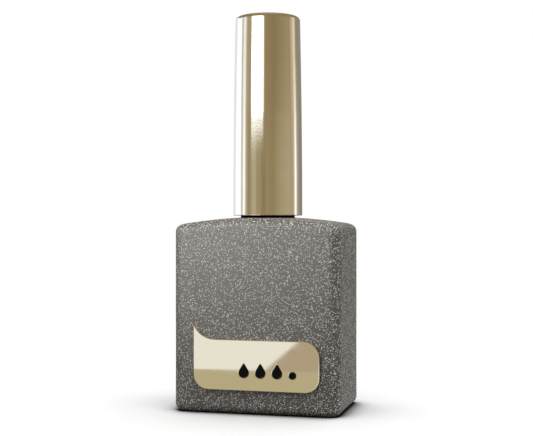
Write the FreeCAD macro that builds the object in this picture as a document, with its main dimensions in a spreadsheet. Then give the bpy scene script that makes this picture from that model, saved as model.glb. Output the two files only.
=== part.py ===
import FreeCAD, Part
import math
import os
import Sketcher

# Nail polish bottle: a coated square glass bottle with a threaded neck, a tall
# tapered metal cap over a screw closure, and a brush that hangs from the closure.
# Millimetres. The origin is the centre of the base, +Z is up, the decorated front
# faces -Y.

doc = FreeCAD.newDocument("NailPolishBottle")


# ---------------------------------------------------------------- driving sizes
# name, value in millimetres (or a plain count), what it is
SIZES = [
    # glass body and its sprayed coat
    ("body_width", 38.3, "outside width over the coat"),
    ("body_depth", 23.5, "outside depth over the coat"),
    ("crown_height", 43.9, "top of the domed shoulder over the coat"),
    ("corner_radius", 2.5, "upright corners over the coat"),
    ("dome_radius", 120.0, "sphere that shapes the shoulder"),
    ("dome_flat_radius", 4.0, "flat middle of the dome, under the neck"),
    ("shoulder_round", 1.8, "round between sides and shoulder"),
    ("base_round", 1.7, "round between sides and base"),
    ("coat_thickness", 0.2, "sprayed lacquer and glitter coat"),
    ("bond_gap", 0.01, "space between coat and glass"),
    ("wall", 2.6, "glass wall at the sides"),
    ("base_glass", 5.0, "inside floor above the base plane"),
    ("cavity_top", 39.4, "inside ceiling above the base plane"),
    ("cavity_corner", 2.6, "upright corners of the inside"),
    ("cavity_ceiling_round", 3.4, "round under the inside ceiling"),
    ("cavity_floor_round", 1.2, "round around the inside floor"),
    # neck finish, 13-415 style
    ("collar_radius", 6.25, "plain bead at the foot of the neck"),
    ("collar_top", 45.2, "top of the bead"),
    ("neck_root_radius", 5.7, "neck under the thread"),
    ("neck_top", 55.3, "sealing lip"),
    ("neck_bore_radius", 3.5, "mouth of the bottle"),
    ("thread_pitch", 2.117, "twelve threads to the inch"),
    ("thread_crest_radius", 6.45, "outside of the glass thread"),
    ("thread_start", 47.6, "middle of the glass thread at its lower end"),
    ("thread_turns", 1.75, "turns of glass thread"),
    ("thread_root_width", 1.15, "glass thread at the neck"),
    ("thread_crest_width", 0.65, "glass thread at its crest"),
    # gasket and brush
    ("gasket_thickness", 0.8, "sealing washer"),
    ("gasket_radius", 5.3, "outside of the washer"),
    ("gasket_hole_radius", 2.7, "hole in the washer"),
    ("flange_radius", 4.6, "brush flange held by the closure"),
    ("flange_thickness", 1.0, "brush flange"),
    ("plug_radius", 2.8, "stem plug above the flange"),
    ("plug_length", 4.2, "stem plug above the flange"),
    ("guide_radius", 2.4, "stem just under the flange"),
    ("stem_top_radius", 1.75, "stem under the guide"),
    ("stem_end_radius", 1.6, "stem at its lower end"),
    ("stem_end", 21.0, "lower end of the stem"),
    ("socket_radius", 1.35, "socket for the bristles"),
    ("socket_depth", 3.6, "socket for the bristles"),
    ("anchor_width", 2.6, "metal plate the bristles fold over"),
    ("anchor_thickness", 0.4, "metal plate the bristles fold over"),
    ("anchor_height", 1.6, "metal plate the bristles fold over"),
    ("anchor_rise", 1.6, "plate above the stem end"),
    ("tuft_root_radius", 1.1, "bristles at the socket"),
    ("tuft_belly_radius", 2.05, "bristles at their widest"),
    ("tuft_belly_drop", 9.0, "widest place under the stem end"),
    ("tuft_tip_radius", 1.1, "bristles at their rounded end"),
    ("tuft_length", 13.8, "bristles under the stem end"),
    # closure and overcap
    ("skirt_bottom", 44.5, "lower edge of the screw closure"),
    ("skirt_bore_radius", 6.65, "inside of the screw closure"),
    ("inner_thread_crest_radius", 5.95, "inside of the closure thread"),
    ("inner_thread_root_width", 0.95, "closure thread at the skirt"),
    ("inner_thread_crest_width", 0.5, "closure thread at its crest"),
    ("inner_thread_turns", 1.25, "turns of closure thread"),
    ("flank_clearance", 0.13, "space between the loaded flanks"),
    ("deck_thickness", 1.3, "wall across the closure over the brush"),
    ("boss_radius", 4.1, "socket wall around the stem plug"),
    ("boss_top", 64.0, "top of the socket wall"),
    ("tube_bore_radius", 5.6, "hollow top part of the closure"),
    ("rib_thickness", 0.9, "stiffening rib"),
    ("rib_top", 84.0, "top of the stiffening ribs"),
    ("rib_count", 6, "stiffening ribs"),
    ("closure_top", 89.2, "top of the closure"),
    ("cap_bottom", 44.2, "lower edge of the overcap"),
    ("cap_top", 90.1, "top of the overcap"),
    ("cap_bottom_radius", 8.0, "overcap at its lower edge"),
    ("cap_top_radius", 7.48, "where the taper inside the overcap aims, at its top"),
    ("cap_side_radius", 2020.0, "long curve up the side of the overcap"),
    ("cap_bend_1", 54.0, "end of the first of the cones that follow that curve"),
    ("cap_bend_2", 67.5, "end of the second cone"),
    ("cap_bend_3", 79.0, "end of the third cone"),
    ("cap_wall", 0.45, "drawn metal wall"),
    ("cap_edge_round", 0.9, "round at the top edge"),
    ("cap_lip_round", 0.18, "rounded lower lip"),
    ("fit_gap", 0.03, "space between overcap and closure"),
    # front plaque
    ("plaque_left", -14.0, "left edge from the middle of the front"),
    ("plaque_right", 14.8, "right edge"),
    ("plaque_bottom", 5.35, "lower edge"),
    ("plaque_top", 16.6, "upper edge"),
    ("tail_height", 3.6, "rise of the pointed corner"),
    ("tail_run", 5.0, "length of its curved flank"),
    ("plaque_corner", 3.4, "rounded corners"),
    ("plaque_thickness", 0.75, "metal plate"),
    ("plaque_bevel", 0.14, "bevel around the face"),
    ("recess_bevel", 0.22, "bevel around the recesses"),
    ("adhesive_thickness", 0.1, "bonding film"),
    ("adhesive_inset", 0.25, "film inside the plate's edge"),
    ("mark_first", -2.3, "middle of the first drop mark"),
    ("mark_spacing", 3.8, "drop mark to drop mark"),
    ("mark_centre_height", 9.35, "middle of the drops' round part"),
    ("mark_round_radius", 1.05, "round part of a drop"),
    ("mark_rise", 2.0, "tip of a drop above that middle"),
    ("dot_across", 8.8, "middle of the dot mark"),
    ("dot_height", 9.05, "middle of the dot mark"),
    ("dot_radius", 0.72, "dot mark"),
    ("recess_depth", 0.3, "recess for the enamel"),
    ("enamel_thickness", 0.22, "enamel in a recess"),
    ("enamel_gap", 0.03, "enamel to the recess wall"),
    # base label and mixing balls
    ("label_width", 27.0, "base label"),
    ("label_depth", 13.0, "base label"),
    ("label_corner", 2.0, "base label"),
    ("label_gap", 0.3, "bare edge around the label"),
    ("ball_radius", 2.0, "steel mixing ball"),
    ("ball_clearance", 0.02, "ball above the glass floor"),
    ("ball_lane", 4.7, "ball lane from the middle plane"),
    ("ball_1_across", -7.0, "rest place of the front ball"),
    ("ball_2_across", 6.0, "rest place of the back ball"),
]

sheet = doc.addObject("Spreadsheet::Sheet", "Sizes")
for row, (alias, value, note) in enumerate(SIZES, start=1):
    sheet.set("A%d" % row, alias)
    sheet.set("B%d" % row, str(value))
    sheet.setAlias("B%d" % row, alias)
    sheet.set("C%d" % row, note)
doc.recompute()


def expand(text):
    """Write a size name as the sheet's own cell name in an expression."""
    words = []
    word = ""
    for letter in text + " ":
        if letter.isalnum() or letter == "_":
            word += letter
            continue
        words.append("Sizes." + word if word in ALIASES else word)
        words.append(letter)
        word = ""
    return "".join(words).strip()


ALIASES = {alias for alias, value, note in SIZES}


def size(text):
    """The value of an expression of size names."""
    result = sheet.evalExpression(expand(text))
    return float(getattr(result, "Value", result))


def bind(feature, name, text):
    feature.setExpression(name, expand(text))


# ---------------------------------------------------------------- building helpers
def new_body(name):
    body = doc.addObject("PartDesign::Body", name)
    body.Label = name
    return body


def origin_feature(body, role):
    for feature in body.Origin.OriginFeatures:
        if feature.Role == role:
            return feature
    raise ValueError(role)


def new_sketch(body, name, plane, offset=None):
    """A sketch on one of the body's own origin planes; offset is along its normal."""
    sketch = body.newObject("Sketcher::SketchObject", name)
    sketch.AttachmentSupport = [(origin_feature(body, plane), "")]
    sketch.MapMode = "FlatFace"
    if offset is not None:
        bind(sketch, ".AttachmentOffset.Base.z", offset)
    return sketch


def pin_coordinate(sketch, geometry, point, axis, text, label):
    """Hold one coordinate of a sketch point at the value of an expression."""
    value = size(text)
    if abs(value) < 1e-9:
        reference = -2 if axis == "X" else -1
        sketch.addConstraint(Sketcher.Constraint("PointOnObject", geometry, point, reference))
        return
    kind = "Distance" + axis
    if value > 0:
        constraint = Sketcher.Constraint(kind, -1, 1, geometry, point, value)
        expression = text
    else:
        constraint = Sketcher.Constraint(kind, geometry, point, -1, 1, -value)
        expression = "-(" + text + ")"
    index = sketch.addConstraint(constraint)
    sketch.renameConstraint(index, label)
    bind(sketch, "Constraints." + label, expression)


def arc_between(start, end, radius, clockwise, large):
    """The circle arc from start to end; sketch arcs are stored counterclockwise."""
    if clockwise:
        start, end = end, start
    chord = end.sub(start)
    half = chord.Length / 2
    rise = math.sqrt(max(radius * radius - half * half, 0.0))
    side = FreeCAD.Vector(-chord.y, chord.x, 0).normalize()
    if large:
        side = side.negative()
    centre = start.add(chord.multiply(0.5)).add(side.multiply(rise))
    first = math.atan2(start.y - centre.y, start.x - centre.x)
    last = math.atan2(end.y - centre.y, end.x - centre.x)
    circle = Part.Circle(centre, FreeCAD.Vector(0, 0, 1), radius)
    return Part.ArcOfCircle(circle, first, last)


def outline(sketch, points):
    """A closed outline through points of two expressions each.

    A point with a third entry (radius, clockwise, large) starts an arc; otherwise
    the step to the next point is straight. A fourth word "centred" keeps the arc's
    centre on the upright axis, so that it turns into an exact sphere.
    """
    first = sketch.GeometryCount
    places = [FreeCAD.Vector(size(p[0]), size(p[1]), 0) for p in points]
    starts = []
    ends = []
    for index, point in enumerate(points):
        here = places[index]
        there = places[(index + 1) % len(points)]
        if len(point) == 2:
            geometry = sketch.addGeometry(Part.LineSegment(here, there), False)
            starts.append((geometry, 1))
            ends.append((geometry, 2))
            continue
        radius, clockwise, large = point[2][:3]
        arc = arc_between(here, there, size(radius), clockwise, large)
        geometry = sketch.addGeometry(arc, False)
        starts.append((geometry, 2 if clockwise else 1))
        ends.append((geometry, 1 if clockwise else 2))
    for index in range(len(points)):
        after = starts[(index + 1) % len(points)]
        sketch.addConstraint(Sketcher.Constraint("Coincident", *ends[index], *after))
    for index, point in enumerate(points):
        geometry, end = starts[index]
        label = "p%d" % (first + index)
        pin_coordinate(sketch, geometry, end, "X", point[0], label + "_across")
        pin_coordinate(sketch, geometry, end, "Y", point[1], label + "_up")
        if len(point) == 3 and "centred" in point[2]:
            sketch.addConstraint(Sketcher.Constraint("PointOnObject", geometry, 3, -2))
        elif len(point) == 3:
            radius = sketch.addConstraint(Sketcher.Constraint("Radius", geometry, size(point[2][0])))
            sketch.renameConstraint(radius, label + "_radius")
            bind(sketch, "Constraints.%s_radius" % label, point[2][0])


def circle(sketch, across, up, radius, label):
    centre = FreeCAD.Vector(size(across), size(up), 0)
    geometry = sketch.addGeometry(Part.Circle(centre, FreeCAD.Vector(0, 0, 1), size(radius)), False)
    pin_coordinate(sketch, geometry, 3, "X", across, label + "_across")
    pin_coordinate(sketch, geometry, 3, "Y", up, label + "_up")
    index = sketch.addConstraint(Sketcher.Constraint("Radius", geometry, size(radius)))
    sketch.renameConstraint(index, label + "_radius")
    bind(sketch, "Constraints.%s_radius" % label, radius)


def rectangle(sketch, half_width, half_depth):
    outline(sketch, [
        ("-(%s)" % half_width, "-(%s)" % half_depth),
        (half_width, "-(%s)" % half_depth),
        (half_width, half_depth),
        ("-(%s)" % half_width, half_depth),
    ])


def pad(body, sketch, name, length, upward=True):
    feature = body.newObject("PartDesign::Pad", name)
    feature.Profile = sketch
    bind(feature, "Length", length)
    feature.Reversed = not upward
    doc.recompute()
    return feature


def pocket(body, sketch, name, length, along_normal):
    """Cut; along_normal says whether the cut runs the way the sketch faces."""
    before = body.Tip.Shape.Volume
    feature = body.newObject("PartDesign::Pocket", name)
    feature.Profile = sketch
    bind(feature, "Length", length)
    feature.Reversed = along_normal
    doc.recompute()
    if feature.Shape.Volume > before - 1e-3:
        raise RuntimeError(name + " cuts nothing")
    return feature


def revolve(body, sketch, name, cut=False):
    """Turn a profile about the body's Z axis."""
    before = body.Tip.Shape.Volume if cut else 0.0
    kind = "PartDesign::Groove" if cut else "PartDesign::Revolution"
    feature = body.newObject(kind, name)
    feature.Profile = sketch
    feature.ReferenceAxis = (sketch, ["V_Axis"])
    feature.Angle = 360
    doc.recompute()
    if cut and feature.Shape.Volume > before - 1e-3:
        raise RuntimeError(name + " cuts nothing")
    return feature


def helix_thread(body, sketch, name, turns):
    feature = body.newObject("PartDesign::AdditiveHelix", name)
    feature.Profile = sketch
    feature.ReferenceAxis = (sketch, ["V_Axis"])
    feature.Mode = "pitch-turns-angle"
    bind(feature, "Pitch", "thread_pitch")
    bind(feature, "Turns", turns)
    doc.recompute()
    return feature


def edges_where(feature, test):
    names = []
    for index, edge in enumerate(feature.Shape.Edges, start=1):
        if test(edge):
            names.append("Edge%d" % index)
    return names


def is_upright(edge):
    box = edge.BoundBox
    return box.XLength < 1e-4 and box.YLength < 1e-4 and box.ZLength > 0.05


def runs_front_to_back(edge):
    box = edge.BoundBox
    return box.XLength < 1e-4 and box.ZLength < 1e-4 and box.YLength > 0.05


def dress(body, kind, name, test, amount):
    """A fillet or chamfer on the edges of the body's last feature that pass a test."""
    base = body.Tip
    names = edges_where(base, test)
    if not names:
        raise RuntimeError(name + " finds no edges")
    feature = body.newObject("PartDesign::" + kind, name)
    feature.Base = (base, names)
    bind(feature, "Radius" if kind == "Fillet" else "Size", amount)
    doc.recompute()
    return feature


# ---------------------------------------------------------------- glass body form
def block_form(body, shrink, add_middle):
    """The domed, rounded block, drawn in by an expression on every side.

    add_middle puts in the neck or its opening before the shoulder is rounded.
    """
    half_width = "body_width / 2 - (%s)" % shrink
    half_depth = "body_depth / 2 - (%s)" % shrink
    plan = new_sketch(body, body.Name + "Plan", "XY_Plane", shrink)
    rectangle(plan, half_width, half_depth)
    pad(body, plan, body.Name + "Block", "crown_height - 2 * (%s)" % shrink)
    dress(body, "Fillet", body.Name + "Corners", is_upright, "corner_radius - (%s)" % shrink)

    dome = new_sketch(body, body.Name + "Dome", "XZ_Plane")
    reach = "body_width * 0.75"
    crown = "crown_height - (%s)" % shrink
    flat = "dome_flat_radius"
    drop = "(dome_radius - sqrt(dome_radius ^ 2 - (%s) ^ 2))"
    outline(dome, [
        ("0", "%s - %s" % (crown, drop % flat)),
        (flat, "%s - %s" % (crown, drop % flat), ("dome_radius", True, False, "centred")),
        (reach, "%s - %s" % (crown, drop % reach)),
        (reach, "crown_height + 5"),
        ("0", "crown_height + 5"),
    ])
    revolve(body, dome, body.Name + "DomeCut", cut=True)
    add_middle(body)

    shoulder = size("crown_height") - 4
    side = size("body_depth") / 2 - size(shrink) - 0.01

    def on_shoulder(edge):
        box = edge.BoundBox
        reach_x = max(abs(box.XMin), abs(box.XMax))
        reach_y = max(abs(box.YMin), abs(box.YMax))
        outside = reach_y > side - size("corner_radius") or reach_x > side + 1
        return box.ZMin > shoulder and outside and edge.Length > 0.5

    def on_base(edge):
        return edge.BoundBox.ZMax < size(shrink) + 0.01

    dress(body, "Fillet", body.Name + "ShoulderRound", on_shoulder, "shoulder_round - (%s)" % shrink)
    dress(body, "Fillet", body.Name + "BaseRound", on_base, "base_round - (%s)" % shrink)
    return body


def add_neck(body):
    """The bead and the plain neck above the shoulder."""
    neck = new_sketch(body, "NeckProfile", "XZ_Plane")
    outline(neck, [
        ("0", "crown_height - 3"),
        ("collar_radius", "crown_height - 3"),
        ("collar_radius", "collar_top - 0.25"),
        ("collar_radius - 0.25", "collar_top"),
        ("neck_root_radius", "collar_top"),
        ("neck_root_radius", "neck_top - 0.45"),
        ("neck_root_radius - 0.45", "neck_top"),
        ("0", "neck_top"),
    ])
    revolve(body, neck, "Neck")


def add_collar_well(body):
    """The opening that the neck's bead stands in."""
    plan = new_sketch(body, body.Name + "WellPlan", "XY_Plane", "crown_height - 2")
    circle(plan, "0", "0", "collar_radius + bond_gap", "well")
    pocket(body, plan, body.Name + "Well", "5", along_normal=True)


def make_glass_bottle():
    body = new_body("glass_bottle")
    block_form(body, "coat_thickness", add_neck)

    cavity = new_sketch(body, "CavityPlan", "XY_Plane", "base_glass")
    inset = "(coat_thickness + wall)"
    rectangle(cavity, "body_width / 2 - %s" % inset, "body_depth / 2 - %s" % inset)
    pocket(body, cavity, "Cavity", "cavity_top - base_glass", along_normal=True)

    low = size("base_glass")
    high = size("cavity_top")
    wide = size("body_width / 2 - coat_thickness - wall") + 0.01
    deep = size("body_depth / 2 - coat_thickness - wall") + 0.01

    def inside(edge):
        box = edge.BoundBox
        within = abs(box.XMin) < wide and abs(box.XMax) < wide
        within = within and abs(box.YMin) < deep and abs(box.YMax) < deep
        return within and box.ZMin > low - 0.01 and box.ZMax < high + 0.01

    dress(body, "Fillet", "CavityCorners", lambda e: inside(e) and is_upright(e), "cavity_corner")
    dress(body, "Fillet", "CavityCeiling", lambda e: inside(e) and e.BoundBox.ZMin > high - 0.01,
          "cavity_ceiling_round - cavity_corner * 0.4")
    dress(body, "Fillet", "CavityFloor", lambda e: inside(e) and e.BoundBox.ZMax < low + 0.01,
          "cavity_floor_round")

    thread = new_sketch(body, "ThreadProfile", "XZ_Plane")
    outline(thread, [
        ("neck_root_radius - 0.15", "thread_start - thread_root_width / 2 - 0.05"),
        ("neck_root_radius", "thread_start - thread_root_width / 2"),
        ("thread_crest_radius", "thread_start - thread_crest_width / 2"),
        ("thread_crest_radius", "thread_start + thread_crest_width / 2"),
        ("neck_root_radius", "thread_start + thread_root_width / 2"),
        ("neck_root_radius - 0.15", "thread_start + thread_root_width / 2 + 0.05"),
    ])
    helix_thread(body, thread, "Thread", "thread_turns")

    bore = new_sketch(body, "BoreProfile", "XZ_Plane")
    outline(bore, [
        ("0", "cavity_top - 1"),
        ("neck_bore_radius + 1.2", "cavity_top - 1"),
        ("neck_bore_radius + 1.2", "cavity_top"),
        ("neck_bore_radius", "cavity_top + 1.6"),
        ("neck_bore_radius", "neck_top - 0.3"),
        ("neck_bore_radius + 0.3", "neck_top"),
        ("neck_bore_radius + 0.3", "neck_top + 1"),
        ("0", "neck_top + 1"),
    ])
    revolve(body, bore, "Bore", cut=True)
    return body


def make_lacquer_coat():
    """The sprayed coat: the outer form less the glass form, the collar and the label window."""
    outer = block_form(new_body("CoatOutside"), "0", add_collar_well)
    inner = block_form(new_body("CoatInside"), "coat_thickness - bond_gap", add_collar_well)

    window = new_body("LabelWindow")
    plan = new_sketch(window, "WindowPlan", "XY_Plane", "-1")
    rectangle(plan, "label_width / 2 + label_gap", "label_depth / 2 + label_gap")
    pad(window, plan, "WindowBlock", "2")
    dress(window, "Fillet", "WindowCorners", is_upright, "label_corner + label_gap")

    hollow = doc.addObject("Part::MultiFuse", "CoatHollow")
    hollow.Shapes = [inner, window]
    coat = doc.addObject("Part::Cut", "lacquer_coat")
    coat.Base = outer
    coat.Tool = hollow
    coat.Label = "lacquer_coat"
    doc.recompute()
    return coat


def make_base_label():
    body = new_body("base_label")
    plan = new_sketch(body, "LabelPlan", "XY_Plane")
    rectangle(plan, "label_width / 2", "label_depth / 2")
    pad(body, plan, "LabelSheet", "coat_thickness - bond_gap")
    dress(body, "Fillet", "LabelCorners", is_upright, "label_corner")
    return body


# ---------------------------------------------------------------- front plaque
def plaque_outline(sketch, inset):
    """A plate with one corner drawn up into a point by a hollow curve."""
    flank = "(tail_run ^ 2 + tail_height ^ 2) / (2 * tail_height)"
    left = "plaque_left + (%s)" % inset
    right = "plaque_right - (%s)" % inset
    outline(sketch, [
        (left, "plaque_bottom + (%s)" % inset),
        (right, "plaque_bottom + (%s)" % inset),
        (right, "plaque_top - (%s)" % inset),
        ("%s + tail_run" % left, "plaque_top - (%s)" % inset, (flank, True, False)),
        (left, "plaque_top + tail_height - (%s)" % inset),
    ])


def plaque_plate(body, inset, offset, thickness, prefix):
    face = new_sketch(body, prefix + "Outline", "XZ_Plane", offset)
    plaque_outline(face, inset)
    pad(body, face, prefix + "Plate", thickness)
    top = size("plaque_top")
    left = size("plaque_left") + 2

    def at_corner(edge):
        box = edge.BoundBox
        right_side = box.XMin > size("plaque_right") - 2
        low_left = box.XMax < left and box.ZMax < top - 3
        return runs_front_to_back(edge) and (right_side or low_left)

    dress(body, "Fillet", prefix + "Corners", at_corner, "plaque_corner - (%s)" % inset)


def mark_outlines(sketch, gap):
    """Three drop marks in a row and a dot, each drawn in by a gap."""
    round_radius = "(mark_round_radius - (%s))" % gap
    rise = "(mark_rise - 1.9 * (%s))" % gap
    for number in range(3):
        middle = "mark_first + %d * mark_spacing" % number
        side = "%s * sqrt(1 - (%s / %s) ^ 2)" % (round_radius, round_radius, rise)
        lift = "%s ^ 2 / %s" % (round_radius, rise)
        outline(sketch, [
            ("%s + %s" % (middle, side), "mark_centre_height + %s" % lift),
            (middle, "mark_centre_height + %s" % rise),
            ("%s - %s" % (middle, side), "mark_centre_height + %s" % lift,
             (round_radius, False, True)),
        ])
    circle(sketch, "dot_across", "dot_height", "dot_radius - (%s)" % gap, "dot")


def make_front_plaque():
    body = new_body("front_plaque")
    back = "body_depth / 2 + adhesive_thickness"
    plaque_plate(body, "0", back, "plaque_thickness", "Plaque")
    marks = new_sketch(body, "MarkRecesses", "XZ_Plane", back + " + plaque_thickness")
    mark_outlines(marks, "0")
    pocket(body, marks, "Recesses", "recess_depth", along_normal=False)
    front = -size(back + " + plaque_thickness")
    marks_left = size("mark_first") - 2
    marks_right = size("dot_across") + 2

    def on_face(edge):
        box = edge.BoundBox
        return abs(box.YMin - front) < 1e-4 and abs(box.YMax - front) < 1e-4

    def on_recess(edge):
        box = edge.BoundBox
        inside = box.XMin > marks_left and box.XMax < marks_right
        return on_face(edge) and inside and box.ZLength < 5

    def on_outline(edge):
        return on_face(edge) and not on_recess(edge)

    dress(body, "Chamfer", "RecessBevel", on_recess, "recess_bevel")
    dress(body, "Chamfer", "FaceBevel", on_outline, "plaque_bevel")
    return body


def make_plaque_adhesive():
    body = new_body("plaque_adhesive")
    plaque_plate(body, "adhesive_inset", "body_depth / 2", "adhesive_thickness", "Film")
    return body


def make_plaque_inlays():
    body = new_body("plaque_inlays")
    floor = "body_depth / 2 + adhesive_thickness + plaque_thickness - recess_depth"
    marks = new_sketch(body, "EnamelOutlines", "XZ_Plane", floor)
    mark_outlines(marks, "enamel_gap")
    pad(body, marks, "Enamel", "enamel_thickness")
    return body


# ---------------------------------------------------------------- gasket and brush
def make_sealing_gasket():
    body = new_body("sealing_gasket")
    ring = new_sketch(body, "RingProfile", "XZ_Plane")
    outline(ring, [
        ("gasket_hole_radius", "neck_top"),
        ("gasket_radius", "neck_top"),
        ("gasket_radius", "neck_top + gasket_thickness"),
        ("gasket_hole_radius", "neck_top + gasket_thickness"),
    ])
    revolve(body, ring, "Ring")
    return body


def make_brush_stem():
    body = new_body("brush_stem")
    profile = new_sketch(body, "StemProfile", "XZ_Plane")
    flange = "neck_top + gasket_thickness"
    outline(profile, [
        ("0", "stem_end + socket_depth"),
        ("socket_radius", "stem_end + socket_depth"),
        ("socket_radius", "stem_end"),
        ("stem_end_radius", "stem_end"),
        ("stem_top_radius", "neck_top - 9"),
        ("guide_radius", "neck_top - 7.5"),
        ("guide_radius", flange),
        ("flange_radius", flange),
        ("flange_radius", flange + " + flange_thickness"),
        ("plug_radius - 0.35", flange + " + flange_thickness"),
        ("plug_radius - 0.35", flange + " + flange_thickness + plug_length - 1.9"),
        ("plug_radius", flange + " + flange_thickness + plug_length - 1.4"),
        ("plug_radius - 0.6", flange + " + flange_thickness + plug_length"),
        ("0", flange + " + flange_thickness + plug_length"),
    ])
    revolve(body, profile, "Stem")
    return body


def make_tuft_anchor():
    plate = doc.addObject("Part::Box", "tuft_anchor")
    plate.Label = "tuft_anchor"
    bind(plate, "Length", "anchor_width")
    bind(plate, "Width", "anchor_thickness")
    bind(plate, "Height", "anchor_height")
    bind(plate, ".Placement.Base.x", "-anchor_width / 2")
    bind(plate, ".Placement.Base.y", "-anchor_thickness / 2")
    bind(plate, ".Placement.Base.z", "stem_end + anchor_rise")
    return plate


def make_bristle_tuft():
    """A plain closed envelope of the bristles, rounded about its bending point."""
    body = new_body("bristle_tuft")
    profile = new_sketch(body, "TuftProfile", "XZ_Plane")
    tip = "stem_end - tuft_length"
    outline(profile, [
        ("0", "stem_end + tuft_root_radius", ("tuft_root_radius", True, False, "centred")),
        ("tuft_root_radius", "stem_end"),
        ("tuft_belly_radius", "stem_end - tuft_belly_drop"),
        ("tuft_belly_radius - 0.15", tip + " + tuft_tip_radius + 0.6"),
        ("tuft_tip_radius", tip),
        ("0", tip),
    ])
    revolve(body, profile, "Tuft")
    return body


# ---------------------------------------------------------------- closure and overcap
TAPER = "((cap_bottom_radius - cap_top_radius) / (cap_top - cap_bottom))"


def shell_radius(height):
    """Outside radius of the overcap at a height."""
    return "(cap_bottom_radius - (%s - cap_bottom) * %s)" % (height, TAPER)


def make_inner_cap():
    body = new_body("inner_cap")
    deck = "(neck_top + gasket_thickness + flange_thickness + fit_gap)"
    outside = " - cap_wall - fit_gap"
    profile = new_sketch(body, "ClosureProfile", "XZ_Plane")
    outline(profile, [
        ("skirt_bore_radius", "skirt_bottom"),
        (shell_radius("skirt_bottom") + outside, "skirt_bottom"),
        (shell_radius("(closure_top - 0.6)") + outside, "closure_top - 0.6"),
        (shell_radius("closure_top") + outside + " - 0.6", "closure_top"),
        ("tube_bore_radius", "closure_top"),
        ("tube_bore_radius", "%s + deck_thickness" % deck),
        ("boss_radius", "%s + deck_thickness" % deck),
        ("boss_radius", "boss_top"),
        ("plug_radius + fit_gap", "boss_top"),
        ("plug_radius + fit_gap", deck),
        ("skirt_bore_radius", deck),
    ])
    revolve(body, profile, "Closure")

    thread = new_sketch(body, "InnerThreadProfile", "XZ_Plane")
    shift = "(thread_root_width / 2 + inner_thread_root_width / 2)"
    slope = "((thread_root_width - thread_crest_width) / (thread_crest_radius - neck_root_radius) / 2)"
    middle = "(thread_start - %s + %s * 0.5 - flank_clearance)" % (shift, slope)
    outline(thread, [
        ("skirt_bore_radius + 0.15", "%s - inner_thread_root_width / 2 - 0.04" % middle),
        ("skirt_bore_radius", "%s - inner_thread_root_width / 2" % middle),
        ("inner_thread_crest_radius", "%s - inner_thread_crest_width / 2" % middle),
        ("inner_thread_crest_radius", "%s + inner_thread_crest_width / 2" % middle),
        ("skirt_bore_radius", "%s + inner_thread_root_width / 2" % middle),
        ("skirt_bore_radius + 0.15", "%s + inner_thread_root_width / 2 + 0.04" % middle),
    ])
    helix_thread(body, thread, "InnerThread", "inner_thread_turns")

    rib = new_sketch(body, "RibPlan", "XY_Plane", "%s + deck_thickness - 0.2" % deck)
    outline(rib, [
        ("boss_radius - 0.4", "-rib_thickness / 2"),
        ("tube_bore_radius + 0.3", "-rib_thickness / 2"),
        ("tube_bore_radius + 0.3", "rib_thickness / 2"),
        ("boss_radius - 0.4", "rib_thickness / 2"),
    ])
    wall = pad(body, rib, "Rib", "rib_top - %s - deck_thickness" % deck)
    ring = body.newObject("PartDesign::PolarPattern", "Ribs")
    ring.Originals = [wall]
    ring.Axis = (origin_feature(body, "Z_Axis"), [""])
    ring.Angle = 360
    bind(ring, "Occurrences", "rib_count")
    body.Tip = ring
    doc.recompute()
    return body


def side_radius(height):
    """Outside radius of the overcap at a height: upright at the lip, then slowly inwards."""
    return "(cap_bottom_radius - (%s - cap_bottom) ^ 2 / (2 * cap_side_radius))" % height


def make_overcap():
    """A drawn shell; four cones follow the slow curve of its side."""
    body = new_body("overcap")
    profile = new_sketch(body, "ShellProfile", "XZ_Plane")
    under = "cap_top - cap_wall"
    outline(profile, [
        ("0", under),
        (shell_radius("(%s)" % under) + " - cap_wall", under),
        ("cap_bottom_radius - cap_wall", "cap_bottom"),
        ("cap_bottom_radius", "cap_bottom"),
        (side_radius("cap_bend_1"), "cap_bend_1"),
        (side_radius("cap_bend_2"), "cap_bend_2"),
        (side_radius("cap_bend_3"), "cap_bend_3"),
        (side_radius("cap_top"), "cap_top"),
        ("0", "cap_top"),
    ])
    revolve(body, profile, "Shell")

    def ring_at(edge, height, radius):
        box = edge.BoundBox
        flat = box.ZLength < 1e-4 and abs(box.ZMin - height) < 1e-3
        return flat and abs(box.XMax - radius) < 0.02

    top = size("cap_top")
    outside = size(side_radius("cap_top"))
    under_top = size(under)
    inside = size(shell_radius("(%s)" % under) + " - cap_wall")
    dress(body, "Fillet", "TopRound", lambda e: ring_at(e, top, outside), "cap_edge_round")
    dress(body, "Fillet", "InsideRound", lambda e: ring_at(e, under_top, inside),
          "cap_edge_round - cap_wall")
    dress(body, "Fillet", "LowerLip",
          lambda e: e.BoundBox.ZMax < size("cap_bottom") + 1e-3, "cap_lip_round")
    return body


# ---------------------------------------------------------------- mixing balls
def make_ball(name, across, lane):
    ball = doc.addObject("Part::Sphere", name)
    ball.Label = name
    bind(ball, "Radius", "ball_radius")
    bind(ball, ".Placement.Base.x", across)
    bind(ball, ".Placement.Base.y", lane)
    bind(ball, ".Placement.Base.z", "base_glass + ball_radius + ball_clearance")
    return ball


PIECES = [
    make_glass_bottle(),
    make_lacquer_coat(),
    make_base_label(),
    make_front_plaque(),
    make_plaque_adhesive(),
    make_plaque_inlays(),
    make_sealing_gasket(),
    make_brush_stem(),
    make_tuft_anchor(),
    make_bristle_tuft(),
    make_inner_cap(),
    make_overcap(),
    make_ball("mixing_ball_1", "ball_1_across", "-ball_lane"),
    make_ball("mixing_ball_2", "ball_2_across", "ball_lane"),
]
doc.recompute()

for item in doc.Objects:
    if "Invalid" in item.State or "Error" in item.State:
        raise RuntimeError("%s failed: %s" % (item.Name, item.State))
for piece in PIECES:
    if piece.Shape.isNull() or not piece.Shape.isValid():
        raise RuntimeError(piece.Label + " has no valid shape")

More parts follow.
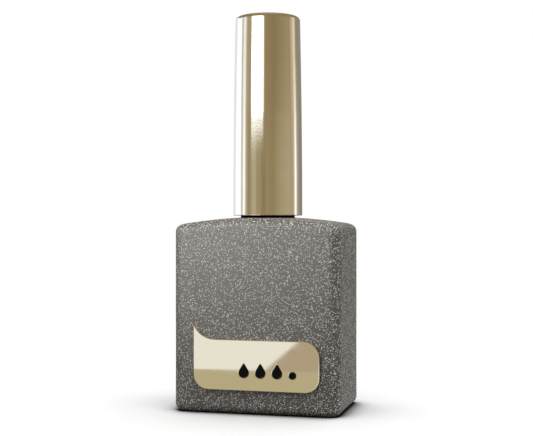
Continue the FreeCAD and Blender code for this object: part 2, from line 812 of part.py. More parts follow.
os.makedirs("parts", exist_ok=True)
for piece in PIECES:
    piece.Shape.exportStep("parts/%s.step" % piece.Label)
    box = piece.Shape.BoundBox
    print("%-16s solids %d  volume %9.2f  x %.2f..%.2f  y %.2f..%.2f  z %.2f..%.2f" % (
        piece.Label, len(piece.Shape.Solids), piece.Shape.Volume,
        box.XMin, box.XMax, box.YMin, box.YMax, box.ZMin, box.ZMax))
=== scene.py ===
import bpy
import bmesh
import math
import random
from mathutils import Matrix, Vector


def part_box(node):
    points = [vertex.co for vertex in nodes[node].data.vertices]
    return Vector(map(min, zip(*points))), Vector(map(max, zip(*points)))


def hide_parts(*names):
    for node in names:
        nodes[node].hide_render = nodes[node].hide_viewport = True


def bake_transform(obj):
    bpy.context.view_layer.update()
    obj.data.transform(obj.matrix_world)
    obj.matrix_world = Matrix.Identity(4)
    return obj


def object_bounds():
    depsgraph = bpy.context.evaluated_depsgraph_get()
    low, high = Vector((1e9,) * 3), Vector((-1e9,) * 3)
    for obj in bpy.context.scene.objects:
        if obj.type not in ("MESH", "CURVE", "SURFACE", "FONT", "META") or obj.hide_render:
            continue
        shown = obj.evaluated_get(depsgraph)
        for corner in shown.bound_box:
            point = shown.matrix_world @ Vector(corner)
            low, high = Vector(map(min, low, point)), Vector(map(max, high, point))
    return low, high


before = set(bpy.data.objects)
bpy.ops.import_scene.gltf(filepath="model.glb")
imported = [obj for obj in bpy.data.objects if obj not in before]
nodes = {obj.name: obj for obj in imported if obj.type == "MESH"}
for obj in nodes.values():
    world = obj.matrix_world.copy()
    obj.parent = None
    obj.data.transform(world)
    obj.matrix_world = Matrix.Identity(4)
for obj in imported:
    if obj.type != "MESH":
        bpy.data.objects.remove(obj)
cad_low, cad_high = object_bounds()

MM = 0.001

# the gold of the cap and the plaque, as the share of light it mirrors
GOLD = (0.83, 0.74, 0.54)
GOLD_SMUDGED = (0.80, 0.705, 0.50)
GOLD_PLAQUE = (0.845, 0.755, 0.56)

# silver flakes in the lacquer, in millimetres:
# spacing, half length, half width, share of the places that hold one, shift of the pattern
FLAKE_LAYERS = [
    (0.39, 0.185, 0.088, 0.55, (0, 0, 0)),
    (0.44, 0.205, 0.088, 0.55, (17.3, 5.1, 9.7)),
    (0.35, 0.160, 0.078, 0.42, (3.9, 21.7, 12.2)),
]

# brush
STRAND_PAIRS = 96
STRAND_RADIUS = 0.055 * MM
ROOT_RADIUS = 1.02 * MM
STRAND_STEPS = 10
FOLD_STEPS = 6
WIDEST_AT = 0.66

# floor
FLOOR_RADIUS = 6.0
FLOOR_DROP = 0.02 * MM
CONTACT_REACH = 4.6 * MM
NEARBY_REACH = 40.0 * MM

# key light, in metres, degrees and watts
KEY_PLACE = (-0.221, -0.42, 0.161)
KEY_TARGET = (-0.0132, 0, 0.069)
KEY_ANGLE = 17.3
KEY_POWER = 105.0

# camera, in millimetres on the sensor, then metres and degrees around the bottle
SENSOR_WIDTH = 36.0
LENS = 74.1486
SHIFT_Y = -0.0037523
CAMERA_AZIMUTH = 14.67
CAMERA_DISTANCE = 0.2547
CAMERA_ASIDE = -0.00031
CAMERA_HEIGHT = 0.04409


# ------------------------------------------------------------------ node helpers
class Graph:
    """A small wrapper that keeps node set-up to one line a node."""

    def __init__(self, tree):
        self.tree = tree
        self.tree.nodes.clear()

    def add(self, kind, inputs=None, **settings):
        node = self.tree.nodes.new(kind)
        for key, value in settings.items():
            setattr(node, key, value)
        for key, value in (inputs or {}).items():
            self.put(node.inputs[key], value)
        return node

    def put(self, socket, value):
        if isinstance(value, bpy.types.NodeSocket):
            self.tree.links.new(value, socket)
        else:
            socket.default_value = value

    def math(self, operation, a, b=0.0, c=0.0):
        node = self.add("ShaderNodeMath", operation=operation)
        for index, value in enumerate((a, b, c)):
            self.put(node.inputs[index], value)
        return node.outputs[0]

    def vector(self, operation, a, b=(0, 0, 0), scale=1.0):
        node = self.add("ShaderNodeVectorMath", operation=operation)
        self.put(node.inputs[0], a)
        if operation == "SCALE":
            self.put(node.inputs["Scale"], scale)
        else:
            self.put(node.inputs[1], b)
        return node.outputs["Value"] if operation in ("DOT_PRODUCT", "LENGTH") else node.outputs[0]

    def mix(self, factor, a, b, blend="MIX"):
        """Two colours mixed; the colour sockets of a Mix node are numbers 6, 7 and 2."""
        node = self.add("ShaderNodeMix", data_type="RGBA", blend_type=blend)
        self.put(node.inputs["Factor"], factor)
        self.put(node.inputs[6], a)
        self.put(node.inputs[7], b)
        return node.outputs[2]

    def blend(self, factor, a, b):
        """Two numbers mixed."""
        node = self.add("ShaderNodeMix", data_type="FLOAT")
        self.put(node.inputs["Factor"], factor)
        self.put(node.inputs[2], a)
        self.put(node.inputs[3], b)
        return node.outputs[0]

    def multiply(self, a, b):
        """Two colours multiplied."""
        return self.mix(1.0, a, b, "MULTIPLY")

    def grey(self, value):
        """A number as a colour or vector with three equal parts."""
        return self.add("ShaderNodeCombineXYZ", {0: value, 1: value, 2: value}).outputs[0]

    def ramp(self, factor, stops):
        """A colour by place along straight lines between stops."""
        node = self.add("ShaderNodeValToRGB")
        band = node.color_ramp
        band.interpolation = "LINEAR"
        while len(band.elements) > 1:
            band.elements.remove(band.elements[0])
        first = True
        for place, colour in stops:
            element = band.elements[0] if first else band.elements.new(place)
            first = False
            element.position = place
            element.color = (*colour, 1.0)
        self.put(node.inputs[0], factor)
        return node.outputs[0]

    def grey_ramp(self, factor, stops):
        """The same for a share of light, given as (place, share) pairs."""
        return self.ramp(factor, [(place, (share, share, share)) for place, share in stops])

    def smooth(self, value, low, high):
        """0 below low, 1 above high, eased between."""
        node = self.add("ShaderNodeMapRange", interpolation_type="SMOOTHSTEP")
        self.put(node.inputs["Value"], value)
        self.put(node.inputs["From Min"], low)
        self.put(node.inputs["From Max"], high)
        return node.outputs[0]

    def millimetres(self):
        """Object coordinates in millimetres."""
        place = self.add("ShaderNodeTexCoord").outputs["Object"]
        return self.vector("SCALE", place, scale=1.0 / MM)

    def noise(self, place, scale, detail=2.0, roughness=0.5, distortion=0.0):
        return self.add("ShaderNodeTexNoise", {
            "Vector": place, "Scale": scale, "Detail": detail,
            "Roughness": roughness, "Distortion": distortion})

    def choose(self, factor, first, second):
        """The first shader where the factor is 0 and the second where it is 1."""
        return self.add("ShaderNodeMixShader", {
            0: factor, 1: first.outputs[0], 2: second.outputs[0]})

    def direct(self):
        """1 when seen by the eye or in a mirror, 0 for light that a matt surface gathers."""
        path = self.add("ShaderNodeLightPath")
        return self.math("SUBTRACT", 1.0, path.outputs["Is Diffuse Ray"])

    def bump(self, height, strength, distance, normal=None):
        inputs = {"Height": height, "Strength": strength, "Distance": distance}
        if normal is not None:
            inputs["Normal"] = normal
        return self.add("ShaderNodeBump", inputs).outputs[0]


def surface(name):
    """A new material with a Principled shader on its output."""
    material = bpy.data.materials.new(name)
    material.use_nodes = True
    graph = Graph(material.node_tree)
    shader = graph.add("ShaderNodeBsdfPrincipled")
    output = graph.add("ShaderNodeOutputMaterial")
    graph.tree.links.new(shader.outputs[0], output.inputs["Surface"])
    return material, graph, shader


def assign(node_name, material):
    obj = nodes[node_name]
    obj.data.materials.clear()
    obj.data.materials.append(material)


# ------------------------------------------------------------------ materials
def gold_metal():
    """Drawn and polished shell: two sizes of fine ripple, under cloudy smudges from handling."""
    material, g, shader = surface("gold_metal")
    place = g.millimetres()
    ripple = g.noise(place, 1.2, 2.0, 0.5).outputs[0]
    fine = g.noise(place, 3.6, 2.0, 0.6).outputs[0]
    height = g.math("MULTIPLY_ADD", fine, 1.1, g.math("MULTIPLY", ripple, 0.8))
    smudge = g.noise(place, 0.16, 4.0, 0.6, 0.8).outputs[0]
    rough = g.math("MULTIPLY_ADD", g.smooth(smudge, 0.45, 0.75), 0.035, 0.03)
    tint = g.mix(g.smooth(smudge, 0.3, 0.8), (*GOLD, 1), (*GOLD_SMUDGED, 1))
    g.put(shader.inputs["Base Color"], tint)
    g.put(shader.inputs["Metallic"], 1.0)
    g.put(shader.inputs["Roughness"], rough)
    g.put(shader.inputs["Normal"], g.bump(height, 0.10, 0.02 * MM))
    return material


def plaque_metal():
    """Polished plate: faint level scratches and smudges."""
    material, g, shader = surface("pale_gold_metal")
    place = g.millimetres()
    smudge = g.noise(place, 0.3, 4.0, 0.6, 0.5).outputs[0]
    scratch_place = g.vector("MULTIPLY", place, (0.6, 1.0, 9.0))
    scratch = g.noise(scratch_place, 1.0, 3.0, 0.7).outputs[0]
    rough = g.math("MULTIPLY_ADD", g.smooth(smudge, 0.4, 0.8), 0.035, 0.03)
    g.put(shader.inputs["Base Color"], g.mix(smudge, (*GOLD, 1), (*GOLD_PLAQUE, 1)))
    g.put(shader.inputs["Metallic"], 1.0)
    g.put(shader.inputs["Roughness"], rough)
    g.put(shader.inputs["Normal"], g.bump(scratch, 0.02, 0.01 * MM))
    return material


def flake_layer(g, place, cell, length, width, share, shift):
    """Thin grains scattered at random angles: (how much grain, its random colour)."""
    cells = g.vector("ADD", g.vector("SCALE", place, scale=1.0 / cell), shift)
    dots = g.add("ShaderNodeTexVoronoi", {"Vector": cells, "Scale": 1.0, "Randomness": 1.0},
                 feature="F1", voronoi_dimensions="3D")
    tone = dots.outputs["Color"]
    offset = g.vector("SUBTRACT", cells, dots.outputs["Position"])
    lie = g.vector("NORMALIZE", g.vector("SUBTRACT", tone, (0.5, 0.5, 0.5)))
    along = g.vector("DOT_PRODUCT", offset, lie)
    reach = g.vector("LENGTH", offset)
    across = g.math("SQRT", g.math("MAXIMUM", g.math(
        "SUBTRACT", g.math("MULTIPLY", reach, reach), g.math("MULTIPLY", along, along)), 0.0))
    along_share = g.math("ABSOLUTE", g.math("DIVIDE", along, length / cell))
    across_share = g.math("DIVIDE", across, width / cell)
    ellipse = g.math("ADD", g.math("POWER", along_share, 2.0), g.math("POWER", across_share, 2.0))
    pick = g.add("ShaderNodeTexWhiteNoise", {"Vector": dots.outputs["Position"]},
                 noise_dimensions="3D")
    kept = g.math("LESS_THAN", pick.outputs["Value"], share)
    grain = g.smooth(g.math("SUBTRACT", 1.0, ellipse), -0.15, 0.35)
    return g.math("MULTIPLY", grain, kept), tone


def painted_plaque_shadow(g):
    """Painted shadow: how much light from above reaches the front, less in a thin strip under the
    plaque; it darkens the front's colour.
    """
    facing = g.add("ShaderNodeNewGeometry").outputs["Normal"]
    upward = g.vector("NORMALIZE", g.vector("ADD", facing, (-0.15, 0.0, 0.9)))
    open_air = g.add("ShaderNodeAmbientOcclusion", {"Distance": 1.7 * MM, "Normal": upward},
                     samples=8)
    painted_shadow_strip = g.grey_ramp(open_air.outputs["AO"], [(0.35, 0.64), (0.6, 0.78), (0.74, 0.93), (0.84, 1.0)])
    front = g.smooth(g.vector("DOT_PRODUCT", facing, (0, -1, 0)), 0.9, 0.98)
    return g.blend(front, 1.0, painted_shadow_strip)


def glitter_lacquer():
    """Warm grey paint with short silver flakes lying at many angles, under a dull clear coat."""
    material, g, shader = surface("glitter_lacquer")
    place = g.millimetres()
    warp = g.vector("SUBTRACT", g.noise(place, 1.3, 1.0).outputs["Color"], (0.5, 0.5, 0.5))
    bent = g.vector("ADD", place, g.vector("SCALE", warp, scale=0.35))
    flake, tone = flake_layer(g, bent, *FLAKE_LAYERS[0])
    for layer in FLAKE_LAYERS[1:]:
        more, more_tone = flake_layer(g, bent, *layer)
        tone = g.mix(g.math("GREATER_THAN", more, flake), tone, more_tone)
        flake = g.math("MAXIMUM", flake, more)
    shade = g.add("ShaderNodeSeparateColor", {"Color": tone})
    cloud = g.noise(place, 0.12, 3.0, 0.6).outputs[0]
    paint = g.mix(cloud, (0.114, 0.102, 0.084, 1), (0.136, 0.123, 0.103, 1))
    silver = g.mix(shade.outputs[0], (0.78, 0.77, 0.75, 1), (1.0, 1.0, 0.98, 1))
    # the lacquer's colour is darkened by the painted shadow under the plaque
    colour = g.mix(painted_plaque_shadow(g), (0, 0, 0, 1), g.mix(flake, paint, silver))
    g.put(shader.inputs["Base Color"], colour)
    g.put(shader.inputs["Specular IOR Level"], 0.0)
    g.put(shader.inputs["Roughness"], g.blend(flake, 0.62, 0.42))
    g.put(shader.inputs["Coat Weight"], g.direct())
    g.put(shader.inputs["Coat IOR"], 1.3)
    g.put(shader.inputs["Coat Roughness"], g.blend(cloud, 0.67, 0.73))
    lean = g.vector("SCALE", g.vector("SUBTRACT", tone, (0.5, 0.5, 0.5)), scale=0.4)
    normal = g.add("ShaderNodeNewGeometry").outputs["Normal"]
    turned = g.vector("NORMALIZE", g.vector("ADD", normal, g.vector("MULTIPLY", lean, g.grey(flake))))
    g.put(shader.inputs["Normal"], g.bump(flake, 0.2, 0.02 * MM, turned))
    return material


def black_glass():
    """Opaque black pressed glass: glossy in the open, dull where the cap shades it."""
    material, g, shader = surface("black_glass")
    place = g.millimetres()
    cloud = g.noise(place, 0.3, 4.0, 0.6, 0.3).outputs[0]
    wave = g.noise(place, 0.5, 2.0, 0.5).outputs[0]
    open_air = g.add("ShaderNodeAmbientOcclusion", {"Distance": 3.0 * MM}, samples=6).outputs["AO"]
    colour = g.mix(cloud, (0.004, 0.004, 0.0045, 1), (0.008, 0.008, 0.009, 1))
    g.put(shader.inputs["Base Color"], colour)
    g.put(shader.inputs["Roughness"], g.blend(g.smooth(cloud, 0.3, 0.7), 0.06, 0.15))
    gloss = g.math("MULTIPLY", g.smooth(open_air, 0.35, 0.8), 0.5)
    g.put(shader.inputs["Specular IOR Level"], gloss)
    g.put(shader.inputs["Normal"], g.bump(wave, 0.2, 0.03 * MM))
    return material


def plain_surface(name, colours, roughness, noise_scale, bump_size, metallic=0.0, specular=0.5):
    """Moulded, stamped or sheet material: cloudy colour, varied roughness, fine bump."""
    material, g, shader = surface(name)
    place = g.millimetres()
    cloud = g.noise(place, noise_scale, 4.0, 0.6, 0.3).outputs[0]
    grain = g.noise(place, noise_scale * 9.0, 2.0, 0.5).outputs[0]
    g.put(shader.inputs["Base Color"], g.mix(cloud, (*colours[0], 1), (*colours[1], 1)))
    g.put(shader.inputs["Roughness"], g.blend(g.smooth(cloud, 0.3, 0.7), *roughness))
    g.put(shader.inputs["Metallic"], metallic)
    g.put(shader.inputs["Specular IOR Level"], specular)
    g.put(shader.inputs["Normal"], g.bump(grain, 0.3, bump_size * MM))
    return material


# pieces, material, two colours, roughness range, cloud scale, bump in millimetres, the rest
PLAIN_PIECES = [
    (["plaque_inlays"], "black_enamel", ((0.003, 0.003, 0.003), (0.007, 0.007, 0.007)),
     (0.2, 0.34), 0.8, 0.004, {"specular": 0.06}),
    (["plaque_adhesive"], "adhesive_film", ((0.62, 0.61, 0.58), (0.70, 0.69, 0.66)),
     (0.45, 0.6), 0.5, 0.006, {}),
    (["base_label"], "label_film", ((0.74, 0.73, 0.70), (0.80, 0.79, 0.76)),
     (0.5, 0.65), 0.4, 0.008, {}),
    (["sealing_gasket"], "gasket_foam", ((0.72, 0.72, 0.70), (0.82, 0.82, 0.80)),
     (0.65, 0.8), 1.2, 0.03, {}),
    (["brush_stem"], "white_plastic", ((0.74, 0.74, 0.72), (0.80, 0.80, 0.785)),
     (0.22, 0.36), 0.4, 0.006, {}),
    (["tuft_anchor"], "anchor_steel", ((0.45, 0.45, 0.45), (0.6, 0.6, 0.6)),
     (0.25, 0.4), 1.0, 0.01, {"metallic": 1.0}),
    (["bristle_tuft"], "bristle_nylon", ((0.02, 0.02, 0.022), (0.05, 0.05, 0.055)),
     (0.3, 0.45), 1.0, 0.01, {}),
    (["inner_cap"], "black_plastic", ((0.010, 0.010, 0.011), (0.018, 0.018, 0.019)),
     (0.28, 0.42), 0.3, 0.008, {}),
    (["mixing_ball_1", "mixing_ball_2"], "ball_steel", ((0.55, 0.55, 0.56), (0.68, 0.68, 0.69)),
     (0.06, 0.14), 0.5, 0.003, {"metallic": 1.0}),
]

assign("overcap", gold_metal())
assign("front_plaque", plaque_metal())
assign("lacquer_coat", glitter_lacquer())
assign("glass_bottle", black_glass())
for pieces, name, colours, roughness, noise_scale, bump_size, rest in PLAIN_PIECES:
    material = plain_surface(name, colours, roughness, noise_scale, bump_size, **rest)
    for piece in pieces:
        assign(piece, material)

for node in nodes.values():
    node.data.shade_smooth()


# ------------------------------------------------------------------ bristles
def tube(build, points, radii, sides=6):
    """A closed tube along a chain of points, with a radius for each point."""
    rings = []
    side = Vector((1, 0, 0))
    for index, point in enumerate(points):
        before = points[max(index - 1, 0)]
        after = points[min(index + 1, len(points) - 1)]
        along = (after - before).normalized()
        side = (side - along * side.dot(along)).normalized()
        other = along.cross(side)
        ring = []
        for step in range(sides):
            angle = 2 * math.pi * step / sides
            offset = side * math.cos(angle) + other * math.sin(angle)
            ring.append(build.verts.new(point + offset * radii[index]))
        rings.append(ring)
    for first, second in zip(rings, rings[1:]):
        for step in range(sides):
            following = (step + 1) % sides
            build.faces.new((first[step], first[following], second[following], second[step]))
    build.faces.new(list(reversed(rings[0])))
    build.faces.new(rings[-1])


def strand(x, y, sign, mouth, length, belly, draw, number):
    """One filament from the stem's mouth to its tip, as a list of points."""
    out = math.hypot(x, y) / ROOT_RADIUS
    droop = draw.uniform(0.0, 0.7) * MM + 2.1 * MM * out ** 3
    lean = Vector((draw.gauss(0, 1), draw.gauss(0, 1), 0)) * 0.05 * MM
    points = []
    for step in range(STRAND_STEPS + 1):
        t = step / STRAND_STEPS
        swell = math.sin(min(t / WIDEST_AT, 1.0) * math.pi / 2) ** 1.4
        fan = 1 + (belly / ROOT_RADIUS * 0.93 - 1) * swell
        fan *= 1 - 0.22 * max(t - WIDEST_AT, 0.0) / (1 - WIDEST_AT)
        spread = Vector((x, sign * y, 0)) * fan
        wave = Vector((math.sin(5 * t + number), math.cos(4 * t + number), 0)) * 0.02 * MM * t
        down = Vector((0, 0, mouth - t * (length - droop)))
        points.append(spread + wave + lean * t + down)
    return points


def bristles():
    """Nylon filaments folded over the anchor plate, fanning out to a rounded tip."""
    draw = random.Random(7)
    low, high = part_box("bristle_tuft")
    anchor_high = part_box("tuft_anchor")[1]
    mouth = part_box("brush_stem")[0].z
    length = mouth - low.z
    belly = (high.x - low.x) / 2
    build = bmesh.new()
    for number in range(STRAND_PAIRS):
        reach = math.sqrt((number + 0.5) / STRAND_PAIRS)
        turn = number * math.pi * (3 - math.sqrt(5))
        x = ROOT_RADIUS * reach * math.cos(turn) * 0.97
        y = abs(ROOT_RADIUS * reach * math.sin(turn)) * 0.8 + anchor_high.y + STRAND_RADIUS * 1.3
        scale = min(1.0, ROOT_RADIUS / math.hypot(x, y))
        x, y = x * scale, y * scale
        front = strand(x, y, 1, mouth, length, belly, draw, number)
        back = strand(x, y, -1, mouth, length, belly, draw, number)
        rise = min(y, 0.62 * MM)
        fold = []
        for step in range(FOLD_STEPS + 1):
            angle = math.pi * step / FOLD_STEPS
            fold.append(Vector((x, y * math.cos(angle), anchor_high.z + rise * math.sin(angle))))
        chain = list(reversed(front)) + fold + back
        radii = [STRAND_RADIUS] * len(chain)
        radii[0] = radii[-1] = STRAND_RADIUS * 0.35
        radii[1] = radii[-2] = STRAND_RADIUS * 0.85
        tube(build, chain, radii)
    mesh = bpy.data.meshes.new("bristles")
    build.to_mesh(mesh)
    build.free()
    obj = bpy.data.objects.new("bristles", mesh)
    bpy.context.scene.collection.objects.link(obj)
    mesh.materials.append(bpy.data.materials["bristle_nylon"])
    mesh.shade_smooth()
    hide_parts("bristle_tuft")
    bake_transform(obj)


bristles()


# ------------------------------------------------------------------ stage
def panels(g, azimuth, elevation):
    """What a polished surface sees around the bottle, by direction, in degrees.

    Azimuth runs from the front, -Y, towards +X. White panels stand to the left and a
    narrow one to the right; the rest is warm wall.
    """
    turn = g.math("MULTIPLY_ADD", azimuth, 1.0 / 360.0, 0.5)

    def stops(entries):
        return [((angle + 180.0) / 360.0, colour) for angle, colour in entries]

    white = (2.9, 3.25, 4.3)
    sheet = (1.24, 1.39, 1.88)
    pale = (1.02, 1.12, 1.42)
    slit = (0.62, 0.64, 0.68)
    low_slit = (0.67, 0.69, 0.73)
    grey = (0.34, 0.335, 0.35)
    upper = g.ramp(turn, stops([
        (-180, grey), (-158, (0.74, 0.78, 0.86)), (-136, (0.90, 0.96, 1.12)),
        (-124, (0.92, 0.98, 1.14)),
        (-117, sheet), (-90, sheet), (-86.5, slit), (-81.5, slit), (-78, pale), (-69.5, pale),
        (-65, (0.62, 0.60, 0.57)), (-61, (0.45, 0.42, 0.34)), (-52, (0.43, 0.39, 0.30)),
        (-44.2, (0.43, 0.39, 0.30)), (-42.2, white), (-3.2, white), (-1.6, (1.60, 1.70, 1.90)),
        (0.5, (0.75, 0.74, 0.70)), (3.5, (0.44, 0.39, 0.30)), (6, (0.35, 0.29, 0.19)),
        (34, (0.29, 0.235, 0.155)), (60, (0.34, 0.29, 0.20)), (86, (0.385, 0.34, 0.26)),
        (97.5, (0.375, 0.33, 0.25)), (100.5, (0.55, 0.455, 0.365)), (106, (0.66, 0.54, 0.445)),
        (111.0, (0.66, 0.56, 0.475)), (114.5, (0.90, 0.88, 0.90)), (121, (0.80, 0.77, 0.80)),
        (127, (0.40, 0.365, 0.325)), (139, (0.315, 0.295, 0.275)), (180, grey)]))
    lower = g.ramp(turn, stops([
        (-180, grey), (-158, (0.74, 0.78, 0.88)), (-144, (0.93, 0.99, 1.18)),
        (-129, (0.87, 0.91, 1.02)), (-118, sheet), (-89, sheet), (-84, low_slit), (-79, low_slit),
        (-75.5, sheet), (-70, sheet), (-66, (0.74, 0.76, 0.82)), (-62.5, (0.54, 0.51, 0.45)),
        (-54, (0.36, 0.305, 0.22)), (-49, (0.36, 0.305, 0.22)), (-36, (0.52, 0.49, 0.40)),
        (-27, (0.51, 0.48, 0.39)),
        (-20.5, (0.37, 0.32, 0.225)), (-16, (0.42, 0.37, 0.27)), (-3, (0.33, 0.275, 0.19)),
        (3, (0.30, 0.25, 0.165)), (9, (0.37, 0.32, 0.22)), (33, (0.34, 0.285, 0.195)),
        (37, (0.37, 0.32, 0.225)), (60, (0.45, 0.405, 0.305)), (88, (0.49, 0.46, 0.39)),
        (101, (0.46, 0.41, 0.335)), (110, (0.57, 0.46, 0.37)), (114.5, (0.78, 0.76, 0.80)),
        (118.5, (1.30, 1.40, 1.72)), (124.2, (1.30, 1.40, 1.72)), (129, (0.50, 0.48, 0.48)),
        (152, (0.27, 0.265, 0.27))]))
    # the large white panel ends lower on its left side, with a long soft foot
    past_edge = g.math("MAXIMUM", g.math("ADD", azimuth, 46.0), 0.0)
    slant = g.math("MINIMUM", past_edge, 46.0)
    steep = g.math("MULTIPLY_ADD", slant, 0.015, 1.0)
    level = g.math("MULTIPLY_ADD", g.math("SUBTRACT", elevation, 5.78), steep, 6.1)
    level = g.math("MULTIPLY_ADD", slant, -0.004, level)
    foot = [(3.9, 0.0), (4.15, 0.02), (4.46, 0.04), (4.77, 0.07), (5.08, 0.12), (5.4, 0.19),
            (5.71, 0.26), (5.96, 0.32), (6.3, 0.39), (6.8, 0.48), (7.3, 0.62), (8.0, 1.0)]
    foot_low, foot_span = 3.5, 5.0
    rise = g.grey_ramp(g.math("MULTIPLY_ADD", level, 1.0 / foot_span, -foot_low / foot_span),
                       [((height - foot_low) / foot_span, share) for height, share in foot])
    beside = g.math("MULTIPLY", g.smooth(azimuth, -50.0, -48.0), g.smooth(azimuth, 0.6, 0.0))
    rise = g.blend(beside, g.smooth(elevation, 2.0, 11.0), rise)
    return g.mix(rise, lower, upper)


def azimuth_of(g, x, y):
    """The direction of a place or ray in plan, in degrees from the front towards +X."""
    radians = g.math("ARCTAN2", x, g.math("MULTIPLY", y, -1.0))
    return g.math("MULTIPLY", radians, 180.0 / math.pi)


def reflected_studio():
    """The surroundings: plain white to the eye, panels and warm walls in reflections."""
    world = bpy.data.worlds.new("studio")
    world.use_nodes = True
    bpy.context.scene.world = world
    g = Graph(world.node_tree)
    path = g.add("ShaderNodeLightPath")
    direction = g.add("ShaderNodeTexCoord").outputs["Generated"]
    x, y, z = g.add("ShaderNodeSeparateXYZ", {0: direction}).outputs
    azimuth = azimuth_of(g, x, y)
    elevation = g.math("MULTIPLY", g.math("ARCSINE", z), 180.0 / math.pi)
    sides = panels(g, azimuth, elevation)
    ceiling = g.mix(g.smooth(elevation, 14.0, 26.0), sides, (0.30, 0.24, 0.15, 1))
    ceiling = g.mix(g.smooth(elevation, 50.0, 80.0), ceiling, (0.42, 0.36, 0.26, 1))

    # matt surfaces are lit by a dome, strongest overhead and a little stronger from +X
    soft = g.grey_ramp(g.math("MULTIPLY_ADD", z, 0.5, 0.5),
                       [(0.0, 0.2), (0.5, 0.25), (0.75, 0.50), (0.88, 1.75), (1.0, 2.3)])
    tilt = g.math("MULTIPLY_ADD", g.math("MAXIMUM", x, 0.0), 0.35, 1.0)
    soft = g.multiply(soft, g.grey(tilt))
    seen = g.add("ShaderNodeBackground", {"Color": (1, 1, 1, 1), "Strength": 1.0})
    mirrored = g.add("ShaderNodeBackground", {"Color": ceiling, "Strength": 1.0})
    lit = g.add("ShaderNodeBackground", {"Color": soft, "Strength": 1.0})
    inner = g.choose(path.outputs["Is Glossy Ray"], lit, mirrored)
    outer = g.choose(path.outputs["Is Camera Ray"], inner, seen)
    output = g.add("ShaderNodeOutputWorld")
    g.tree.links.new(outer.outputs[0], output.inputs["Surface"])


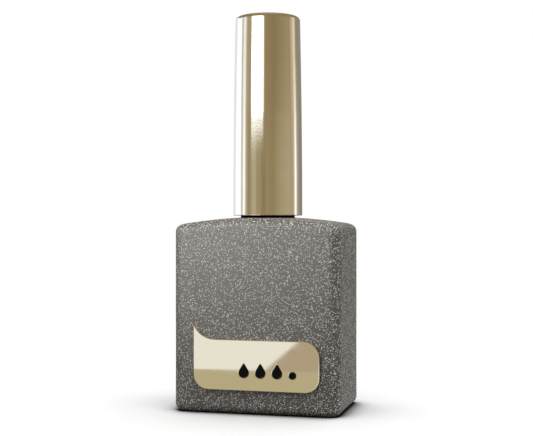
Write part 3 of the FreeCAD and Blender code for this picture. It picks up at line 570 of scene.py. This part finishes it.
def floor():
    """A wide pale floor whose far edge melts into the white surroundings; its colour holds painted
    shadows, and it emits a painted reflection to glossy rays and painted bounce light to diffuse rays.
    """
    mesh = bpy.data.meshes.new("floor")
    build = bmesh.new()
    bmesh.ops.create_circle(build, cap_ends=True, segments=96, radius=FLOOR_RADIUS)
    build.to_mesh(mesh)
    build.free()
    obj = bpy.data.objects.new("floor", mesh)
    bpy.context.scene.collection.objects.link(obj)
    obj.location.z = cad_low.z - FLOOR_DROP

    material = bpy.data.materials.new("pale_floor")
    material.use_nodes = True
    g = Graph(material.node_tree)
    place = g.millimetres()
    x, y = g.add("ShaderNodeSeparateXYZ", {0: place}).outputs[:2]
    reach = g.vector("LENGTH", place)

    # painted shadow: the floor's colour darkens where the bottle stands close over it, more on the
    # right side
    contact = g.add("ShaderNodeAmbientOcclusion", {"Distance": CONTACT_REACH}, samples=8)
    shade = g.grey_ramp(contact.outputs["AO"],
                        [(0.0, 0.0), (0.37, 0.02), (0.54, 0.30), (0.75, 0.82), (1.0, 1.0)])
    leftward = g.add("ShaderNodeCombineXYZ", {0: -0.7, 1: 0.0, 2: 0.714}).outputs[0]
    nearby = g.add("ShaderNodeAmbientOcclusion", {"Distance": NEARBY_REACH, "Normal": leftward},
                   samples=8)
    soft_shade = g.grey_ramp(nearby.outputs["AO"],
                             [(0.15, 0.68), (0.35, 0.87), (0.45, 0.95), (0.6, 0.99), (0.7, 1.0)])

    # painted reflection: what polished metal sees in the floor is a painted pattern of cards that the
    # floor emits in front of the bottle, white beyond a slanting line and warm on its right, and
    # closer in a white one with an olive one; far out it emits the painted walls
    edge = g.math("MULTIPLY_ADD", x, 0.0686, y)
    near = g.smooth(edge, -83.3, -81.1)
    line = g.math("SUBTRACT", x, g.math("MULTIPLY_ADD", y, 0.0947, -7.87))
    painted_cards = g.mix(g.smooth(line, -1.1, 1.1), (0.95, 1.0, 1.12, 1), (0.498, 0.436, 0.367, 1))
    painted_olive_card = g.math("MULTIPLY", g.smooth(y, -28.0, -34.0), g.smooth(x, -56.0, -50.0))
    inner = g.mix(painted_olive_card, (0.85, 0.90, 1.0, 1), (0.545, 0.517, 0.395, 1))
    painted_cards = g.mix(near, painted_cards, inner)
    painted_walls = panels(g, azimuth_of(g, x, y), -1.0)
    mirrored = g.mix(g.smooth(reach, 240.0, 420.0), painted_cards, painted_walls)
    # the painted reflection is darkened by the painted contact shadow
    mirrored = g.multiply(mirrored, shade)

    # painted bounce light: what matt surfaces are lit by is a colour the floor emits to diffuse rays,
    # dark close to the front of the bottle
    ahead = g.smooth(g.math("MULTIPLY", y, -1.0), 8.0, 20.0)
    front = g.math("MULTIPLY", ahead, g.smooth(reach, 150.0, 60.0))
    painted_bounce_light = g.mix(front, (0.46, 0.45, 0.435, 1), (0.03, 0.03, 0.03, 1))
    painted_bounce_light = g.multiply(painted_bounce_light, shade)

    # the floor's colour holds the painted contact shadow and the wider painted shadow
    pale = g.multiply(g.multiply((0.78, 0.78, 0.78, 1), soft_shade), shade)
    matte = g.add("ShaderNodeBsdfDiffuse", {"Color": pale})
    haze = g.add("ShaderNodeEmission", {"Color": (1.0, 1.0, 1.0, 1.0), "Strength": 1.0})
    seen = g.choose(g.smooth(reach, 110.0, 300.0), matte, haze)
    # emission seen only in glossy rays: the painted reflection
    painted_reflection_glow = g.add("ShaderNodeEmission", {"Color": mirrored, "Strength": 1.0})
    # emission seen only by diffuse rays: the painted bounce light
    painted_bounce_glow = g.add("ShaderNodeEmission", {"Color": painted_bounce_light, "Strength": 1.0})
    path = g.add("ShaderNodeLightPath")
    mixed = g.choose(path.outputs["Is Diffuse Ray"], seen, painted_bounce_glow)
    mixed = g.choose(path.outputs["Is Glossy Ray"], mixed, painted_reflection_glow)
    output = g.add("ShaderNodeOutputMaterial")
    g.tree.links.new(mixed.outputs[0], output.inputs["Surface"])
    mesh.materials.append(material)


def key_light():
    """A soft-edged spot that only the lacquer's clear coat shows, as a pale veil.

    It is brightest at the upper left of the front and fades downwards. It is linked to the
    lacquer alone, so it leaves no glint on the gold and no patch of light on the floor.
    """
    light = bpy.data.lights.new("key", "SPOT")
    light.energy = KEY_POWER
    light.color = (1.0, 0.96, 0.90)
    light.spot_size = math.radians(KEY_ANGLE)
    light.spot_blend = 1.0
    light.shadow_soft_size = 0.012
    obj = bpy.data.objects.new("key", light)
    bpy.context.scene.collection.objects.link(obj)
    obj.location = KEY_PLACE
    aim = Vector(KEY_TARGET) - Vector(KEY_PLACE)
    obj.rotation_euler = aim.to_track_quat("-Z", "Y").to_euler()
    obj.visible_diffuse = False
    obj.visible_camera = False
    lit = bpy.data.collections.new("key_receivers")
    lit.objects.link(nodes["lacquer_coat"])
    obj.light_linking.receiver_collection = lit


reflected_studio()
floor()
key_light()


# ------------------------------------------------------------------ camera
def camera():
    """A level view from slightly right of the front, at the height of the shoulder."""
    data = bpy.data.cameras.new("camera")
    data.sensor_width = SENSOR_WIDTH
    data.lens = LENS
    data.shift_y = SHIFT_Y
    data.clip_start = 0.01
    data.clip_end = 20.0
    obj = bpy.data.objects.new("camera", data)
    bpy.context.scene.collection.objects.link(obj)
    azimuth = math.radians(CAMERA_AZIMUTH)
    right = Vector((math.cos(azimuth), math.sin(azimuth), 0))
    back = Vector((math.sin(azimuth), -math.cos(azimuth), 0))
    obj.location = back * CAMERA_DISTANCE + right * CAMERA_ASIDE + Vector((0, 0, CAMERA_HEIGHT))
    obj.rotation_euler = (math.radians(90), 0, azimuth)
    bpy.context.scene.camera = obj


camera()
bpy.context.scene.view_settings.view_transform = "Standard"
